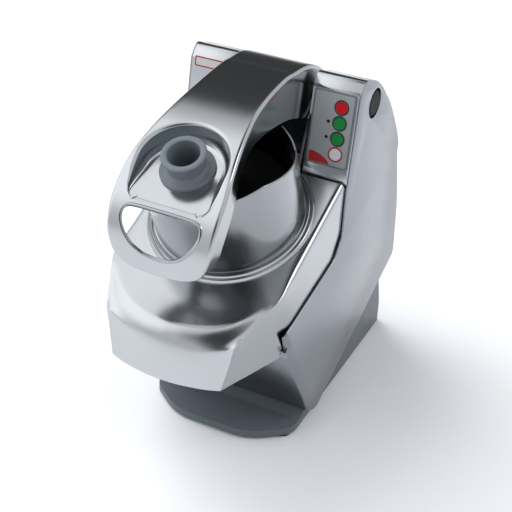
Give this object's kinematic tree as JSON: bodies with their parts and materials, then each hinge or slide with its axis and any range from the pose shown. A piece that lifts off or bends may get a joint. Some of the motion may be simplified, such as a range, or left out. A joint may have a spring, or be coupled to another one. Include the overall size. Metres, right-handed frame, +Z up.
{
  "type": "vegetable slicer",
  "caption": "Countertop vegetable slicer with a leaning steel casing, a round hopper under a hinged pressing lever, a discharge hood and a belt-driven cutting disc.",
  "frame": {"origin": "middle of the machine's box, on the table", "axes": "+Z up, +X to the operator's right, the discharge side faces -Y"},
  "size_m": [0.252, 0.5253, 0.5196],
  "materials": {
    "stainless": "satin",
    "polished": "polished",
    "slate": "satin",
    "rubber": "matte",
    "zinc": "matte",
    "screw_steel": "satin",
    "black_plastic": "matte",
    "dark_sheet": "matte",
    "grey_plastic": "satin",
    "panel_frame": "satin",
    "membrane": "satin",
    "cast_aluminium": "cast",
    "motor_paint": "painted",
    "board": "matte",
    "white_plastic": "satin",
    "red_plastic": "gloss",
    "green_plastic": "gloss",
    "white_key": "gloss"
  },
  "bodies": {
    "casing": {"base_foot": "slate", "rubber_feet": "rubber", "body_shell": "stainless", "bottom_plate": "zinc", "rear_cover": "stainless", "rear_hood": "stainless", "left_pillar": "stainless", "right_pillar": "stainless", "knob_cup": "black_plastic", "channel_panel": "dark_sheet", "chamber_floor": "stainless", "chamber_wall": "stainless", "bearing_housing": "cast_aluminium", "shaft_bearings": "screw_steel", "shaft_seal": "rubber", "bearing_screws": "screw_steel", "motor_plate": "zinc", "motor_shell": "motor_paint", "motor_end_bell": "black_plastic", "motor_bolts": "screw_steel", "motor_capacitor": "white_plastic", "control_board": "board", "control_plate": "panel_frame", "control_overlay": "membrane", "indicator_lamps": "black_plastic", "safety_switch": "black_plastic", "cable_gland": "black_plastic", "rear_cover_screws": "screw_steel", "foot_bolts": "screw_steel", "pillar_bushes": "black_plastic", "drive_belt": "rubber"},
    "cover": {"cover_shell": "stainless", "hopper": "stainless", "hopper_ring": "stainless", "hinge_arms": "stainless", "arm_rivets": "screw_steel", "switch_magnet": "black_plastic"},
    "lever": {"lever_shell": "stainless", "lever_hinge_tube": "zinc", "lever_bushes": "black_plastic", "feed_tube": "grey_plastic", "pusher": "black_plastic", "pusher_screws": "screw_steel"},
    "rod": {"hinge_rod": "polished", "rod_knob": "black_plastic"},
    "disc": {"drive_shaft": "polished", "driven_pulley": "cast_aluminium", "ejector_disc": "white_plastic", "cutting_disc": "stainless", "disc_blade": "polished", "blade_screws": "screw_steel", "disc_nut": "screw_steel"},
    "rotor": {"motor_shaft": "polished", "motor_pulley": "zinc", "motor_fan": "black_plastic"},
    "stop": {"stop_button": "red_plastic"},
    "start": {"start_button": "green_plastic"},
    "pulse": {"pulse_button": "green_plastic"},
    "ready": {"ready_button": "white_key"}
  },
  "joints": [
    {"name": "cover_hinge", "type": "hinge", "parent": "casing", "child": "cover", "pos_m": [0, 0.10494, 0.45604], "axis": [-1, 0, 0], "range_deg": [0, 42]},
    {"name": "lever_hinge", "type": "hinge", "parent": "cover", "child": "lever", "pos_m": [0, 0.10494, 0.45604], "axis": [-1, 0, 0], "range_deg": [0, 65]},
    {"name": "rod_slide", "type": "slide", "parent": "casing", "child": "rod", "axis": [1, 0, 0], "range_m": [0, 0.147]},
    {"name": "disc_spin", "type": "hinge", "parent": "casing", "child": "disc", "pos_m": [0, -0.02631, 0.24062], "axis": [0, -0.3827, 0.9239], "continuous": true},
    {"name": "rotor_spin", "type": "hinge", "parent": "casing", "child": "rotor", "pos_m": [0, 0.12652, 0.19568], "axis": [0, -0.3827, 0.9239], "continuous": true},
    {"name": "stop_press", "type": "slide", "parent": "casing", "child": "stop", "axis": [0, 0.9849, -0.1732], "range_m": [0, 0.0012], "stiffness_N_per_m": 300, "springref_m": -0.001},
    {"name": "start_press", "type": "slide", "parent": "casing", "child": "start", "axis": [0, 0.9849, -0.1732], "range_m": [0, 0.0012], "stiffness_N_per_m": 300, "springref_m": -0.001},
    {"name": "pulse_press", "type": "slide", "parent": "casing", "child": "pulse", "axis": [0, 0.9849, -0.1732], "range_m": [0, 0.0012], "stiffness_N_per_m": 300, "springref_m": -0.001},
    {"name": "ready_press", "type": "slide", "parent": "casing", "child": "ready", "axis": [0, 0.9849, -0.1732], "range_m": [0, 0.0012], "stiffness_N_per_m": 300, "springref_m": -0.001}
  ],
  "couplings": [
    {"joint": "rotor_spin", "follows": "disc_spin", "ratio": 4}
  ]
}
